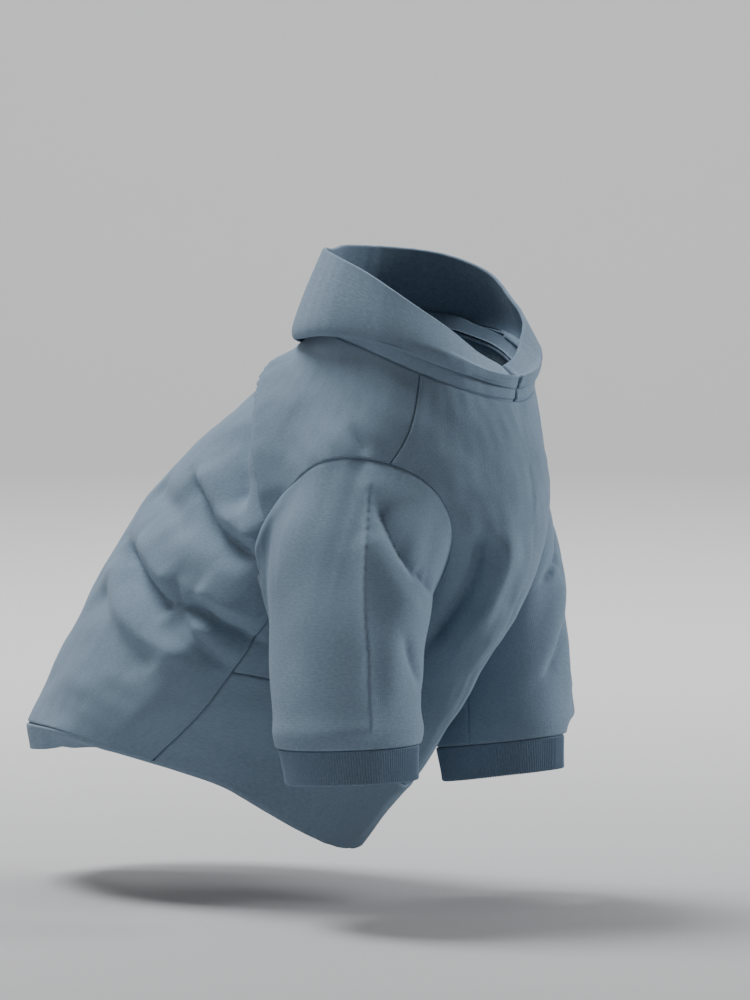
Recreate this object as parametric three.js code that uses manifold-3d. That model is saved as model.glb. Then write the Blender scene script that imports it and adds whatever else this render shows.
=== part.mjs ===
// A pet hoodie of soft fleece, in the form that it has when it is worn: trunk panels, sleeves with rib
// cuffs, a hem band and a hood that lies down round the neck. Millimetres, +X to the front, +Y to its left,
// +Z up. The origin is the middle of the neck opening.
import * as THREE from "three";
import { mergeVertices } from "three/addons/utils/BufferGeometryUtils.js";
import Module from "manifold-3d";

// Cloth
const fleeceWall = 2.5;
const ribWall = 2.8;
const seamGap = 0.35;

// Neck
const neckDepth = 140;
const neckWidth = 124;

// Trunk
const trunkReach = 290; // how far the rear of the hem lies behind the neck
const trunkDrop = 300; // how far the front of the hem lies below the neck
const trunkDepth = 276; // the widest ring, from the back to the front
const trunkWidth = 180; // the widest ring, from side to side
const shoulderRise = 15; // how far the shoulders stand out over the sleeve heads

// Sleeves
const armholeDepth = 122;
const armholeHeight = 92;
const sleeveSpread = 80; // from the middle of the trunk to the middle of a cuff
const sleeveForward = 3; // how far a cuff's middle lies in front of the neck's middle
const sleeveDepth = 94;
const sleeveBreadth = 68;
const sleeveDrop = 222; // from the neck's middle down to the cuff seam
const cuffHeight = 21;
const cuffTaper = 0.95;

// Hem
const hemBandHeight = 18;

// Hood
const hoodRise = 46; // how far the rim stands over the neck seam at the back
const hoodOverhang = 21; // how far the fold stands out behind the neck seam
const hoodStand = 12; // from the neck seam to the fold, along the cloth

// Facets
const chestRows = 19;
const bellyRows = 6;
const backColumns = 26;
const frontColumns = 20;
const sleeveRows = 14;
const sleeveSides = 24;
const cuffRows = 2;
const hoodRows = 9;
const hemRows = 2;

const DEGREE = Math.PI / 180;

// Rings of the trunk from the neck to the hem. x and z are the ring's middle as shares of trunkReach and
// trunkDrop, depth and width are shares of trunkDepth and trunkWidth, slope is how far the front hangs
// below the back, lift is how far the sides stand up, as a share of trunkDrop, and pinch is how much
// narrower the ring is between the sleeves.
const TRUNK_RINGS = [
  { x: 0.002, z: 0.007, depth: 0, width: 0, slope: 18, lift: 0.033, pinch: 0 },
  { x: -0.03, z: -0.08, depth: 0.645, width: 0.72, slope: 18, lift: 0.015, pinch: 0 },
  { x: -0.075, z: -0.168, depth: 0.775, width: 0.78, slope: 16.5, lift: 0, pinch: 0 },
  { x: -0.145, z: -0.268, depth: 0.9, width: 0.83, slope: 15.5, lift: 0, pinch: 0.12 },
  { x: -0.235, z: -0.384, depth: 0.98, width: 0.88, slope: 14.5, lift: 0, pinch: 0.4 },
  { x: -0.326, z: -0.505, depth: 1.005, width: 0.93, slope: 13, lift: 0.01, pinch: 0.56 },
  { x: -0.41, z: -0.626, depth: 1.005, width: 0.97, slope: 11.5, lift: 0.025, pinch: 0.58 },
  { x: -0.498, z: -0.755, depth: 0.975, width: 1.0, slope: 12, lift: 0.055, pinch: 0.54 },
  { x: -0.597, z: -0.882, depth: 0.9, width: 1.0, slope: 15, lift: 0.095, pinch: 0.4 },
];
const LAST_RING = TRUNK_RINGS.length - 1;

// The seams, as rings counted from the neck and degrees round the trunk from the middle of the back.
const SHOULDER_SEAM_AT_NECK = 121.5;
const SEAM_SWINGS_BACK = { from: 0.6, to: 4.4 }; // rings between which the shoulder seam becomes the side seam
const SIDE_SEAM = 101;
const CROSS_SEAM_AT_SIDE = 6;
const CROSS_SEAM_AT_FRONT = 7;

// The middle of each armhole, in the same way. ringsPerDrop and degreesPerDepth are the rings in one
// trunkDrop and the degrees in one trunkDepth there, and tilt and lean are the rings that a degree and the
// degrees that a ring carry its edge along. A fullness under 1 squares it off.
const ARMHOLE = {
  ring: 3.05,
  turn: 113.2,
  ringsPerDrop: 8.7,
  degreesPerDepth: 120,
  tilt: 0.0075,
  lean: 1.5,
  fullness: 0.88,
};

// The shoulders' bulge over the sleeve heads, seen from the side: how far it reaches behind and in front of
// the neck's middle, as shares of trunkReach, and its middle and its half height, as shares of trunkDrop.
const BULGE = { behind: 0.19, ahead: 0.25, middle: -0.2, height: 0.24 };

// Where a ring starts and ends to narrow between the sleeves, in front of its middle, as shares of its
// depth.
const PINCH = { from: -0.02, to: 0.28 };

// The sleeves. drop, spread and size are shares of sleeveDrop, sleeveSpread and the sleeve's own section,
// and lift is how much higher a cuff's front is than its middle, as a share of sleeveDepth. The left one
// hangs a little lower. The cloth leaves an armhole outwards and downwards, less so on its under side, and
// arrives at the cuff straight from above. These are shares of sleeveBreadth (bow) and of the way from the
// armhole to the cuff (the others), and behind, a share of sleeveDepth, fills the sleeve's rear out.
const CUFF_MOUTH = 0.7; // how much of the cuff's taper its two edges lose
const SLEEVE_RUN = { bow: 0.2, behind: 0.1, ahead: 0.15, outside: 0.3, underneath: 0.05, arrive: 0.5 };
const SLEEVES = [
  { name: "right", side: -1, drop: 1, spread: 1, size: 1, lift: 0.035 },
  { name: "left", side: 1, drop: 1.05, spread: 0.92, size: 0.94, lift: 0.065 },
];

// Folds that show as forms, each along three places. side is 1 on the left and -1 on the right. On the
// trunk, down is in rings and round in degrees from the middle of the back. height is how far the cloth
// stands out, or in where it is negative, and above and below are the fold's half widths to its two sides,
// as shares of trunkDepth.
const TRUNK_FOLDS = [
  { side: -1, down: [0.9, 1.9, 3.1], round: [28, 48, 72], height: -0.024, above: 0.08, below: 0.1 },
  { side: -1, down: [4.6, 5.0, 5.6], round: [25, 55, 92], height: -0.022, above: 0.09, below: 0.08 },
  { side: -1, down: [3.7, 4.0, 4.5], round: [20, 52, 84], height: 0.02, above: 0.09, below: 0.09 },
  { side: -1, down: [5.4, 5.7, 6.0], round: [25, 55, 85], height: 0.018, above: 0.08, below: 0.09 },
  { side: -1, down: [2.5, 3.7, 4.8], round: [152, 149, 142], height: -0.026, above: 0.09, below: 0.09 },
  { side: 1, down: [0.9, 1.9, 3.1], round: [28, 48, 72], height: -0.024, above: 0.08, below: 0.1 },
  { side: 1, down: [4.3, 4.8, 5.3], round: [25, 55, 88], height: -0.02, above: 0.09, below: 0.09 },
  { side: 1, down: [5.2, 5.6, 6.0], round: [30, 58, 85], height: 0.016, above: 0.09, below: 0.09 },
  { side: 1, down: [2.7, 3.7, 4.6], round: [150, 150, 144], height: -0.02, above: 0.09, below: 0.09 },
];
const TRUNK_PITCH = { down: 0.13, round: 0.0073 }; // one ring, and one degree, as shares of trunkDepth

// On a sleeve, down is a share of its length and round is in degrees from its front, and the rest is in
// shares of sleeveDepth: a dent at the front of the sleeve head, and the long crease down the outside.
const SLEEVE_FOLDS = [
  { side: 1, down: [0.02, 0.2, 0.42], round: [42, 20, -8], height: -0.05, above: 0.16, below: 0.2 },
  { side: 1, down: [0.0, 0.5, 1.0], round: [84, 52, 40], height: 0.022, above: 0.16, below: 0.2 },
];
const SLEEVE_PITCH = { down: 1.6, round: 0.0077 };

// A smooth step from 0 to 1 between two values.
const step = (from, to, value) => THREE.MathUtils.smoothstep(value, from, to);

// One row between the trunk's rings, as lengths.
const ringColumns = ["x", "z", "depth", "width", "slope", "lift", "pinch"];
const ringSizes = TRUNK_RINGS.map((row, k) => [
  row.x * trunkReach,
  row.z * trunkDrop,
  k ? row.depth * trunkDepth : neckDepth,
  k ? row.width * trunkWidth : neckWidth,
  row.slope,
  row.lift * trunkDrop,
  row.pinch,
]);
const ringSpline = new THREE.CubicInterpolant(
  ringSizes.map((row, k) => k),
  ringSizes.flat(),
  ringColumns.length,
);
function ringAt(ring) {
  const values = ringSpline.evaluate(ring);
  return Object.fromEntries(ringColumns.map((name, k) => [name, values[k]]));
}

// The trunk's outer face without folds. turn is in degrees from the middle of the back, positive to the
// left.
function trunkForm(ring, turn) {
  const size = ringAt(ring);
  const angle = turn * DEGREE;
  const along = -Math.cos(angle) / 2;
  const slope = size.slope * DEGREE;
  const x = size.x + size.depth * along * Math.cos(slope);
  const z = size.z - size.depth * along * Math.sin(slope) + size.lift * Math.sin(angle) ** 2;
  const narrow = 1 - size.pinch * step(PINCH.from, PINCH.to, along);
  const flat = (Math.sin(angle) * size.width * narrow) / 2;
  const reach = (x < 0 ? BULGE.behind : BULGE.ahead) * trunkReach;
  const off = (x / reach) ** 2 + ((z / trunkDrop - BULGE.middle) / BULGE.height) ** 2;
  const outward = Math.sign(flat) * step(0, 0.5, Math.abs(Math.sin(angle)));
  const bulge = shoulderRise * Math.max(0, 1 - off) ** 2 * outward;
  return new THREE.Vector3(x, flat + bulge, z);
}

// How far a table of folds moves the cloth out at a place, in the table's own shares.
function foldHeight(folds, pitch, down, round) {
  let height = 0;
  for (const fold of folds) {
    const own = THREE.MathUtils.euclideanModulo(round * fold.side + 90, 360) - 90;
    const at = new THREE.Vector2(down * pitch.down, own * pitch.round);
    const places = fold.down.map(
      (value, k) => new THREE.Vector2(value * pitch.down, fold.round[k] * pitch.round),
    );
    let [nearest, across, along] = [Infinity, 0, 0];
    places.slice(1).forEach((to, k) => {
      const run = to.clone().sub(places[k]);
      const from = at.clone().sub(places[k]);
      const share = THREE.MathUtils.clamp(from.dot(run) / run.lengthSq(), 0, 1);
      const distance = from.distanceTo(run.clone().multiplyScalar(share));
      if (distance < nearest) [nearest, across, along] = [distance, from.cross(run), k + share];
    });
    const last = places.length - 1;
    const taper = 0.25 + 0.75 * step(0, 0.5, along) * step(last, last - 0.5, along);
    const spread = nearest / (across > 0 ? fold.below : fold.above);
    height += fold.height * taper * Math.exp(-2 * spread * spread);
  }
  return height;
}

// A point in the trunk's cloth, at a depth under its outer face.
function trunkPoint(ring, turn, depth) {
  const nudge = 0.02;
  const at = THREE.MathUtils.clamp(ring, nudge, LAST_RING - nudge);
  const down = trunkForm(at + nudge, turn).sub(trunkForm(at - nudge, turn));
  const round = trunkForm(at, turn + 1).sub(trunkForm(at, turn - 1));
  const out = round.cross(down).normalize();
  const fold = trunkDepth * foldHeight(TRUNK_FOLDS, TRUNK_PITCH, ring, turn);
  return trunkForm(ring, turn).addScaledVector(out, fold - depth);
}

// A closed sheet of cloth with two faces from a grid of places. place(u, v, depth) gives a point, u and v
// run 0 to 1, and a round sheet closes on itself in v.
function clothSolid(place, rows, columns, wall, round) {
  const lines = round ? columns : columns + 1;
  const points = [];
  for (const depth of [0, wall])
    for (let i = 0; i <= rows; i++)
      for (let j = 0; j < lines; j++) points.push(place(i / rows, j / columns, depth));
  const faces = [];
  const spot = (layer, i, j) => layer * (rows + 1) * lines + i * lines + (round ? j % columns : j);
  const quad = (a, b, c, d) => faces.push(a, b, c, a, c, d);
  for (let i = 0; i < rows; i++)
    for (let j = 0; j < columns; j++) {
      quad(spot(0, i, j), spot(0, i + 1, j), spot(0, i + 1, j + 1), spot(0, i, j + 1));
      quad(spot(1, i, j), spot(1, i, j + 1), spot(1, i + 1, j + 1), spot(1, i + 1, j));
    }
  for (let j = 0; j < columns; j++) {
    quad(spot(0, 0, j + 1), spot(1, 0, j + 1), spot(1, 0, j), spot(0, 0, j));
    quad(spot(0, rows, j), spot(1, rows, j), spot(1, rows, j + 1), spot(0, rows, j + 1));
  }
  if (!round)
    for (let i = 0; i < rows; i++) {
      quad(spot(0, i, 0), spot(1, i, 0), spot(1, i + 1, 0), spot(0, i + 1, 0));
      quad(spot(0, i + 1, columns), spot(1, i + 1, columns), spot(1, i, columns), spot(0, i, columns));
    }
  const shape = new THREE.BufferGeometry().setFromPoints(points);
  shape.setIndex(faces);
  return shape;
}

// A mesh's shape as a solid for cutting, and back.
const wasm = await Module();
wasm.setup();
function solidOf(shape) {
  const bare = shape.clone();
  for (const name of Object.keys(bare.attributes)) {
    if (name !== "position") bare.deleteAttribute(name);
  }
  const merged = mergeVertices(bare, 1e-4);
  return new wasm.Manifold(
    new wasm.Mesh({
      numProp: 3,
      vertProperties: merged.attributes.position.array,
      triVerts: new Uint32Array(merged.index.array),
    }),
  );
}
function shapeOf(solid) {
  const mesh = solid.getMesh();
  const shape = new THREE.BufferGeometry();
  shape.setAttribute("position", new THREE.BufferAttribute(mesh.vertProperties, 3));
  shape.setIndex(new THREE.BufferAttribute(mesh.triVerts, 1));
  return shape;
}

// Materials
const fleece = new THREE.MeshStandardMaterial({ color: 0x7f92a5, roughness: 0.95, metalness: 0 });
const rib = new THREE.MeshStandardMaterial({ color: 0x75889b, roughness: 0.95, metalness: 0 });

const hoodie = new THREE.Group();
function addPiece(name, shape, material) {
  const mesh = new THREE.Mesh(shape, material);
  mesh.name = name;
  hoodie.add(mesh);
}

// Seams of the trunk. The side seam runs from the neck over the shoulder, past the armhole and down to the
// hem.
function sideSeam(ring) {
  const share = step(SEAM_SWINGS_BACK.from, SEAM_SWINGS_BACK.to, ring);
  return THREE.MathUtils.lerp(SHOULDER_SEAM_AT_NECK, SIDE_SEAM, share);
}
// The cross seam, v running from one side seam to the other.
function crossSeam(v) {
  return THREE.MathUtils.lerp(CROSS_SEAM_AT_SIDE, CROSS_SEAM_AT_FRONT, step(0, 1, 1 - Math.abs(2 * v - 1)));
}
const turnGap = ((seamGap / trunkWidth) * 360) / Math.PI / 2;
const ringGap = (seamGap / trunkDrop) * LAST_RING;

// The armhole's edge on the trunk, at an angle round it from the front, 90 being the top. out moves it off
// its edge.
function armholeEdge(side, angle, depth, out = 0) {
  const full = (value) => Math.sign(value) * Math.abs(value) ** ARMHOLE.fullness;
  const up = (full(Math.sin(angle)) * (armholeHeight / 2 + out) * ARMHOLE.ringsPerDrop) / trunkDrop;
  const ahead = (full(Math.cos(angle)) * (armholeDepth / 2 + out) * ARMHOLE.degreesPerDepth) / trunkDepth;
  const ring = ARMHOLE.ring - up - ahead * ARMHOLE.tilt;
  return trunkPoint(ring, side * (ARMHOLE.turn + ahead - up * ARMHOLE.lean), depth);
}

// A plug that cuts an armhole through the panels. It reaches well past them on both faces.
const plugReach = 0.23 * trunkWidth;
function armholePlug(side) {
  const sides = sleeveSides * 2;
  const points = [];
  for (const depth of [-plugReach, plugReach])
    for (let k = 0; k < sides; k++)
      points.push(armholeEdge(side, (side * k * 2 * Math.PI) / sides, depth, 2 * seamGap));
  const faces = [];
  const middles = [0, sides].map((from) => {
    const middle = new THREE.Vector3();
    for (let k = 0; k < sides; k++) middle.addScaledVector(points[from + k], 1 / sides);
    points.push(middle);
    return points.length - 1;
  });
  for (let k = 0; k < sides; k++) {
    const next = (k + 1) % sides;
    faces.push(k, k + sides, next + sides, k, next + sides, next);
    faces.push(k, next, middles[0], next + sides, k + sides, middles[1]);
  }
  const shape = new THREE.BufferGeometry().setFromPoints(points);
  shape.setIndex(faces);
  const solid = solidOf(shape);
  if (solid.volume() > 0) return solid;
  shape.setIndex(faces.reverse());
  return solidOf(shape);
}
const armholes = [armholePlug(1), armholePlug(-1)];
function cutArmholes(shape) {
  return shapeOf(armholes.reduce((solid, plug) => solid.subtract(plug), solidOf(shape)));
}

// Trunk panels
function backRing(u) {
  const row = u * (chestRows + bellyRows);
  const below = Math.max(0, row - chestRows) / bellyRows;
  const above = Math.min(row, chestRows) / chestRows;
  return above * CROSS_SEAM_AT_SIDE + below * (LAST_RING - CROSS_SEAM_AT_SIDE);
}
const backTurn = (ring, v) => (1 - v * 2) * (sideSeam(ring) - turnGap);
const frontTurn = (ring, v) => 180 + (1 - v * 2) * (180 - sideSeam(ring) - turnGap);
// The columns of both panels where a ring meets the next piece, from the middle of the front round by the
// back.
function edgeTurns(ring) {
  const middle = frontColumns / 2;
  const front = Array.from({ length: frontColumns + 1 }, (none, j) => frontTurn(ring, j / frontColumns));
  const back = Array.from({ length: backColumns + 1 }, (none, j) => backTurn(ring, j / backColumns));
  return [...front.slice(middle), ...back, ...front.slice(0, middle + 1).map((turn) => turn - 360)];
}
addPiece(
  "back_panel",
  cutArmholes(
    clothSolid(
      (u, v, depth) => {
        const ring = backRing(u);
        return trunkPoint(ring, backTurn(ring, v), depth);
      },
      chestRows + bellyRows,
      backColumns,
      fleeceWall,
    ),
  ),
  fleece,
);
addPiece(
  "chest_panel",
  cutArmholes(
    clothSolid(
      (u, v, depth) => {
        const turn = frontTurn(u * CROSS_SEAM_AT_SIDE, v);
        return trunkPoint(u * (crossSeam(v) - ringGap), turn, depth);
      },
      chestRows,
      frontColumns,
      fleeceWall,
    ),
  ),
  fleece,
);
addPiece(
  "belly_panel",
  clothSolid(
    (u, v, depth) => {
      const ring = THREE.MathUtils.lerp(crossSeam(v) + ringGap, LAST_RING, u);
      return trunkPoint(ring, frontTurn(LAST_RING, v), depth);
    },
    bellyRows,
    frontColumns,
    fleeceWall,
  ),
  fleece,
);

// A sleeve's outer face. u runs from the armhole to the cuff, angle goes round from the front, 90 degrees
// being the top of the armhole and the outside of the cuff.
function cuffEdge(sleeve, angle, below, share) {
  const size = sleeve.size * share;
  return new THREE.Vector3(
    sleeveForward + (Math.cos(angle) * sleeveDepth * size) / 2,
    sleeve.side * (sleeveSpread * sleeve.spread + (Math.sin(angle) * sleeveBreadth * size) / 2),
    -sleeveDrop * sleeve.drop - below + Math.cos(angle) * sleeve.lift * sleeveDepth,
  );
}
function sleeveForm(sleeve, u, angle) {
  const start = armholeEdge(sleeve.side, angle, -2 * seamGap, -seamGap);
  const end = cuffEdge(sleeve, angle, 0, 1);
  const under = step(-0.05, 0.4, (1 - Math.sin(angle)) / 2);
  const fall = start.z - end.z;
  const bowed = Math.abs(start.y) + SLEEVE_RUN.bow * sleeveBreadth * under;
  const rear = SLEEVE_RUN.behind * sleeveDepth * Math.max(0, -Math.cos(angle));
  const leave = new THREE.Vector3(
    THREE.MathUtils.lerp(start.x, end.x, SLEEVE_RUN.ahead) - rear,
    sleeve.side * Math.max(bowed, Math.abs(end.y + start.y) / 2),
    start.z - fall * THREE.MathUtils.lerp(SLEEVE_RUN.outside, SLEEVE_RUN.underneath, under),
  );
  const arrive = end.clone().add(new THREE.Vector3(-rear, 0, fall * SLEEVE_RUN.arrive));
  return new THREE.CubicBezierCurve3(start, leave, arrive, end).getPoint(u);
}
function sleevePoint(sleeve, u, angle, depth) {
  const nudge = 0.01;
  const at = THREE.MathUtils.clamp(u, nudge, 1 - nudge);
  const down = sleeveForm(sleeve, at + nudge, angle).sub(sleeveForm(sleeve, at - nudge, angle));
  const round = sleeveForm(sleeve, at, angle + nudge).sub(sleeveForm(sleeve, at, angle - nudge));
  const out = down.cross(round).setLength(sleeve.side);
  const free = step(0, 0.12, u) * step(1, 0.9, u);
  const fold = free * sleeveDepth * foldHeight(SLEEVE_FOLDS, SLEEVE_PITCH, u, angle / DEGREE);
  return sleeveForm(sleeve, u, angle).addScaledVector(out, fold - depth);
}

// Sleeves and their rib cuffs, which are narrowest at their middle
for (const sleeve of SLEEVES) {
  const angleAt = (v) => sleeve.side * v * 2 * Math.PI;
  const tube = (u, v, depth) => sleevePoint(sleeve, u, angleAt(v), depth);
  addPiece(sleeve.name + "_sleeve", clothSolid(tube, sleeveRows, sleeveSides, fleeceWall, true), fleece);
  const cuff = (u, v, depth) => {
    const waist = THREE.MathUtils.lerp(cuffTaper, 1, CUFF_MOUTH * (2 * u - 1) ** 2);
    return cuffEdge(sleeve, angleAt(v), seamGap + u * cuffHeight, waist - (2 * depth) / sleeveBreadth);
  };
  addPiece(sleeve.name + "_cuff", clothSolid(cuff, cuffRows, sleeveSides, ribWall, true), rib);
}

// Hem band. It turns in towards the body by an angle that grows from behind to ahead, between two turns of
// the trunk.
const HEM_TUCK = { behind: 32, ahead: 86, from: 38, to: 100 };
const hemTurns = edgeTurns(LAST_RING);
function hemPoint(u, v, depth) {
  const turn = hemTurns[Math.round(v * (hemTurns.length - 1))];
  const edge = trunkPoint(LAST_RING, turn, 0);
  const down = edge.clone().sub(trunkPoint(LAST_RING - 0.05, turn, 0)).normalize();
  const out = edge.clone().sub(trunkPoint(LAST_RING, turn, 1)).normalize();
  const forward = step(HEM_TUCK.from, HEM_TUCK.to, Math.abs(turn));
  const tuck = THREE.MathUtils.lerp(HEM_TUCK.behind, HEM_TUCK.ahead, forward) * DEGREE;
  const reach = u * hemBandHeight;
  return edge
    .addScaledVector(down, seamGap + (fleeceWall - depth) * Math.sin(tuck) + reach * Math.cos(tuck))
    .addScaledVector(out, -reach * Math.sin(tuck) - depth * Math.cos(tuck));
}
addPiece("hem_band", clothSolid(hemPoint, hemRows, hemTurns.length - 1, fleeceWall, true), fleece);

// Sections of the hood's cloth round the neck. turn is in degrees from the middle of the back. foldOut,
// foldUp, rimOut and rimUp place the fold and the rim from the neck seam, as shares of hoodOverhang and
// hoodRise, and stand is how high the cloth stands under the fold, as a share of hoodStand.
const HOOD_SECTIONS = [
  { turn: 0, foldOut: 0.95, foldUp: -0.25, rimOut: -0.1, rimUp: 1.0, stand: 0.4 },
  { turn: 40, foldOut: 0.7, foldUp: -0.15, rimOut: -0.15, rimUp: 1.0, stand: 0.7 },
  { turn: 90, foldOut: 0.35, foldUp: 0.1, rimOut: -0.1, rimUp: 0.95, stand: 1.1 },
  { turn: 130, foldOut: 0.25, foldUp: 0.2, rimOut: -0.2, rimUp: 0.75, stand: 1.1 },
  { turn: 180, foldOut: 0.15, foldUp: 0.16, rimOut: -0.45, rimUp: 0.42, stand: 0.9 },
];
const sectionColumns = ["foldOut", "foldUp", "rimOut", "rimUp", "stand"];
const hoodSpline = new THREE.CubicInterpolant(
  HOOD_SECTIONS.map((row) => row.turn),
  HOOD_SECTIONS.flatMap((row) => sectionColumns.map((name) => row[name])),
  sectionColumns.length,
);

// Two places in the cloth between the seam and the fold: out as a share of the fold's own, up as a share of
// the stand. roll is how high the fold's round back is, and crown how far the cloth over it swells out.
const HOOD_UNDER = { nearOut: 0.3, nearUp: 0.55, farOut: 0.75, farUp: 0.45 };
const hoodRoll = 0.17 * hoodRise;
const hoodCrown = 0.12 * hoodOverhang;
const hoodOpening = 5; // degrees to each side of the front, where the hood's two edges part
const hoodTurns = edgeTurns(0).filter((turn) => Math.abs(turn) < 180 - hoodOpening);
hoodTurns.unshift(180 - hoodOpening);
hoodTurns.push(hoodOpening - 180);
function hoodPoint(u, v, depth) {
  const turn = hoodTurns[hoodTurns.length - 1 - Math.round(v * (hoodTurns.length - 1))];
  const [foldOut, foldUp, rimOut, rimUp, stand] = hoodSpline.evaluate(Math.abs(turn));
  const edge = trunkPoint(0, turn, 0);
  const up = edge.clone().sub(trunkPoint(0.05, turn, 0)).normalize();
  const seam = edge.addScaledVector(up, 2 * seamGap);
  const fold = new THREE.Vector2(foldOut * hoodOverhang, foldUp * hoodRise);
  const rim = new THREE.Vector2(rimOut * hoodOverhang, rimUp * hoodRise);
  const under = stand * hoodStand;
  const section = new THREE.SplineCurve([
    new THREE.Vector2(0, 0),
    new THREE.Vector2(fold.x * HOOD_UNDER.nearOut, under * HOOD_UNDER.nearUp),
    new THREE.Vector2(fold.x * HOOD_UNDER.farOut, Math.max(under * HOOD_UNDER.farUp, fold.y + ribWall)),
    fold,
    fold.clone().add(new THREE.Vector2(0, hoodRoll)),
    fold.clone().lerp(rim, 0.5).add(new THREE.Vector2(hoodCrown, 0)),
    rim,
  ]);
  const at = section.getPoint(u);
  const nudge = 0.01;
  const before = section.getPoint(Math.max(0, u - nudge));
  const ahead = section.getPoint(Math.min(1, u + nudge)).sub(before).normalize();
  const out = new THREE.Vector3(seam.x - ringSizes[0][0], seam.y, 0).normalize();
  return seam
    .addScaledVector(out, at.x - depth * ahead.y)
    .add(new THREE.Vector3(0, 0, at.y + depth * ahead.x));
}
addPiece("hood", clothSolid(hoodPoint, hoodRows, hoodTurns.length - 1, fleeceWall), fleece);

export default hoodie;
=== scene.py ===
"""A pet hoodie of slate-blue sweatshirt fleece, in the form that it has when it is worn.

Metres, +X to the wearer's front, +Y to its left, +Z up. The origin is the middle of the neck opening.
"""
import math

import bmesh
import bpy
import numpy as np
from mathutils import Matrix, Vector


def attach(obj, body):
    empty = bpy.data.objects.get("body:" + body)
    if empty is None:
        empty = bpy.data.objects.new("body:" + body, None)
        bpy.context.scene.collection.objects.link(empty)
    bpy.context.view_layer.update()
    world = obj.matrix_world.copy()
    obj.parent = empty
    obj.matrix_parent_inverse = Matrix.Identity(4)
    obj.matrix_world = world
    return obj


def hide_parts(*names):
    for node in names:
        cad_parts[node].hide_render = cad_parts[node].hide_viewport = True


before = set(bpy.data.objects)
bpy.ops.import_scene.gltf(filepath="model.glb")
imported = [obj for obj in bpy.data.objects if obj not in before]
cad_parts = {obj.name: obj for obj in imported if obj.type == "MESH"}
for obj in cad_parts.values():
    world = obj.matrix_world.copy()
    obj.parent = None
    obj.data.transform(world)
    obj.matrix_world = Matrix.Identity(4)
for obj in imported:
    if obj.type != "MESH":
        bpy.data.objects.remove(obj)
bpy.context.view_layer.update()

# Back panel. The real one is a single piece of heavy cotton sweatshirt fleece, smooth knit outside and
# brushed inside, cut from the neck to the hem and shaped over the shoulders. It is overlocked to the chest
# and belly panels at the side seams, to the hood at the neck and to the sleeves at the armholes.
neck_depth = 0.140
neck_width = 0.124
trunk_reach = 0.290
trunk_drop = 0.300
trunk_depth = 0.276
trunk_width = 0.180
shoulder_rise = 0.015
fleece_wall = 0.0025
seam_gap = 0.0002

# Rings of the trunk from the neck to the hem: x, z, depth, width, slope, lift and pinch, all as shares of
# the lengths below but the slope, which is in degrees.
trunk_rings = [
    (0.002, 0.007, neck_depth / trunk_depth, neck_width / trunk_width, 18, 0.033, 0),
    (-0.030, -0.080, 0.645, 0.72, 18, 0.015, 0),
    (-0.075, -0.168, 0.775, 0.78, 16.5, 0, 0),
    (-0.145, -0.268, 0.900, 0.83, 15.5, 0, 0.12),
    (-0.235, -0.384, 0.980, 0.88, 14.5, 0, 0.40),
    (-0.326, -0.505, 1.005, 0.93, 13, 0.010, 0.56),
    (-0.410, -0.626, 1.005, 0.97, 11.5, 0.025, 0.58),
    (-0.498, -0.755, 0.975, 1.00, 12, 0.055, 0.54),
    (-0.597, -0.882, 0.900, 1.00, 15, 0.095, 0.40),
]
ring_lengths = np.array([trunk_reach, trunk_drop, trunk_depth, trunk_width, 1, trunk_drop, 1])
last_ring = len(trunk_rings) - 1
shoulder_bulge = {"behind": 0.19, "ahead": 0.25, "middle": -0.20, "height": 0.24, "full_from": 0.5}
pinch_from, pinch_to = -0.02, 0.28

# Seams, as rings from the neck and degrees round the trunk from the middle of the back, positive to the
# left. The armhole's height in rings goes by the trunk's drop, and its depth in degrees by the trunk's
# depth. Its tilt is the rings that it rises for each degree ahead, and its lean the degrees that it moves
# back for each ring up.
shoulder_seam_at_neck = 121.5
seam_swings_from, seam_swings_to = 0.6, 4.4
side_seam_turn = 101
armhole_ring, armhole_turn = 3.05, 113.2
armhole_depth, armhole_height = 0.122, 0.092
armhole_rings_per_drop, armhole_degrees_per_depth = 8.7, 120
armhole_tilt, armhole_lean, armhole_fullness = 0.0075, 1.5, 0.88  # fullness 1 is an ellipse, less a square


def smooth_step(low, high, value):
    share = np.clip((value - low) / (high - low), 0, 1)
    return share * share * (3 - 2 * share)


def along_rows(places, rows, at):
    """One smooth run through rows of sizes, which stand at rising places."""
    places, rows = np.asarray(places, float), np.asarray(rows, float)
    last = len(places) - 1
    at = np.clip(at, 0 * at + places[0], places[-1])
    here = np.clip(np.searchsorted(places, at, side="right") - 1, 0, last - 1)
    before = np.where(here > 0, here - 1, here + 1)
    after = np.where(here + 2 <= last, here + 2, here)
    start, end = places[here], places[here + 1]
    share = ((at - start) / (end - start))[:, None]
    pull = ((end - start) / 2 / (start - places[before]))[:, None]
    push = ((end - start) / 2 / (places[after] - end))[:, None]
    square, cube = share ** 2, share ** 3
    return (
        (-pull * cube + 2 * pull * square - pull * share) * rows[before]
        + ((1 + pull) * cube - (1.5 + 2 * pull) * square + (pull - 0.5) * share + 1) * rows[here]
        + ((-1 - push) * cube + (1.5 + push) * square + 0.5 * share) * rows[here + 1]
        + (push * cube - push * square) * rows[after]
    )


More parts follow.
